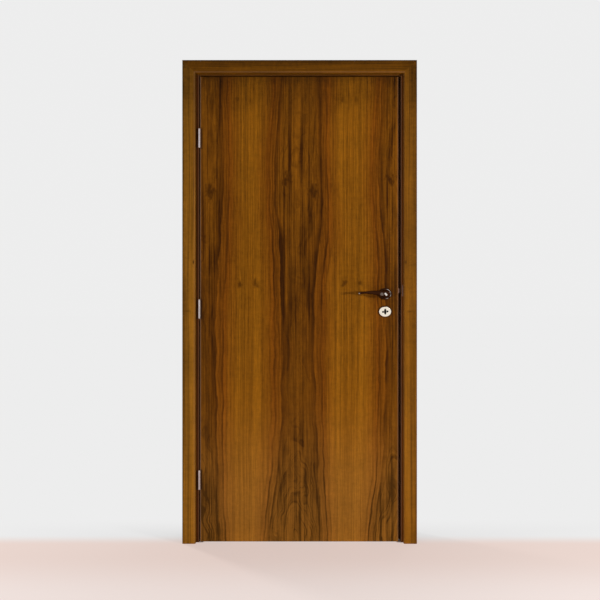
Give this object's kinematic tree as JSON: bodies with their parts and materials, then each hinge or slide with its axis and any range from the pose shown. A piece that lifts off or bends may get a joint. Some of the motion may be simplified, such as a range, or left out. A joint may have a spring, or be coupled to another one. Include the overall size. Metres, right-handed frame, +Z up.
{
  "type": "interior door",
  "caption": "Flush wood-veneered interior door hung on butt hinges in a lined frame with mitred architraves, with a dark polished lever handle and a pale oval key escutcheon.",
  "frame": {"origin": "on the hinge jamb's wall face, at floor level and half the lining's depth", "axes": "+X from the hinge side to the lock side, +Z up, -Y to the front, where the hinge knuckles show and the leaf opens"},
  "size_m": [1.0045, 0.198, 2.069],
  "materials": {
    "leaf_veneer": "satin lacquered figured walnut veneer",
    "edge_lipping": "satin lacquered solid wood strip",
    "core_board": "bare board edge",
    "lining_veneer": "satin lacquered straight-grained veneer",
    "architrave_veneer": "satin lacquered straight-grained veneer",
    "hinge_steel": "polished steel",
    "lock_steel": "brushed steel",
    "lever_dark_metal": "dark polished metal",
    "escutcheon_nickel": "polished nickel"
  },
  "bodies": {
    "frame": {"hinge_jamb": "lining_veneer", "lock_jamb": "lining_veneer", "head_jamb": "lining_veneer", "hinge_stop": "lining_veneer", "lock_stop": "lining_veneer", "head_stop": "lining_veneer", "front_architrave_left": "architrave_veneer", "front_architrave_right": "architrave_veneer", "front_architrave_head": "architrave_veneer", "back_architrave_left": "architrave_veneer", "back_architrave_right": "architrave_veneer", "back_architrave_head": "architrave_veneer", "strike_plate": "lock_steel", "hinge_frame_plate_top": "hinge_steel", "hinge_frame_plate_middle": "hinge_steel", "hinge_frame_plate_bottom": "hinge_steel", "hinge_pin_top": "hinge_steel", "hinge_pin_middle": "hinge_steel", "hinge_pin_bottom": "hinge_steel"},
    "leaf": {"leaf_core": "core_board", "front_face_panel": "leaf_veneer", "back_face_panel": "leaf_veneer", "hinge_edge_lipping": "edge_lipping", "lock_edge_lipping": "edge_lipping", "hinge_door_plate_top": "hinge_steel", "hinge_door_plate_middle": "hinge_steel", "hinge_door_plate_bottom": "hinge_steel", "lock_forend": "lock_steel", "dead_bolt": "lock_steel", "front_lever_rose": "lever_dark_metal", "back_lever_rose": "lever_dark_metal", "front_key_escutcheon": "escutcheon_nickel", "back_key_escutcheon": "escutcheon_nickel"},
    "latch": {"latch_bolt": "lock_steel"},
    "lever_set": {"front_lever": "lever_dark_metal", "back_lever": "lever_dark_metal", "spindle": "lock_steel"}
  },
  "joints": [
    {"name": "door_swing", "type": "hinge", "parent": "frame", "child": "leaf", "pos_m": [0.0305, -0.068, 0], "axis": [0, 0, -1], "range_deg": [0, 150]},
    {"name": "lever_turn", "type": "hinge", "parent": "leaf", "child": "lever_set", "pos_m": [0.828, -0.04, 1.068], "axis": [0, -1, 0], "range_deg": [0, 40], "stiffness_Nm_per_rad": 1, "springref_deg": -28.65},
    {"name": "latch_slide", "type": "slide", "parent": "leaf", "child": "latch", "axis": [-1, 0, 0], "range_m": [0, 0.006]}
  ],
  "couplings": [
    {"joint": "latch_slide", "follows": "lever_turn", "m_per_rad": 0.008594}
  ]
}
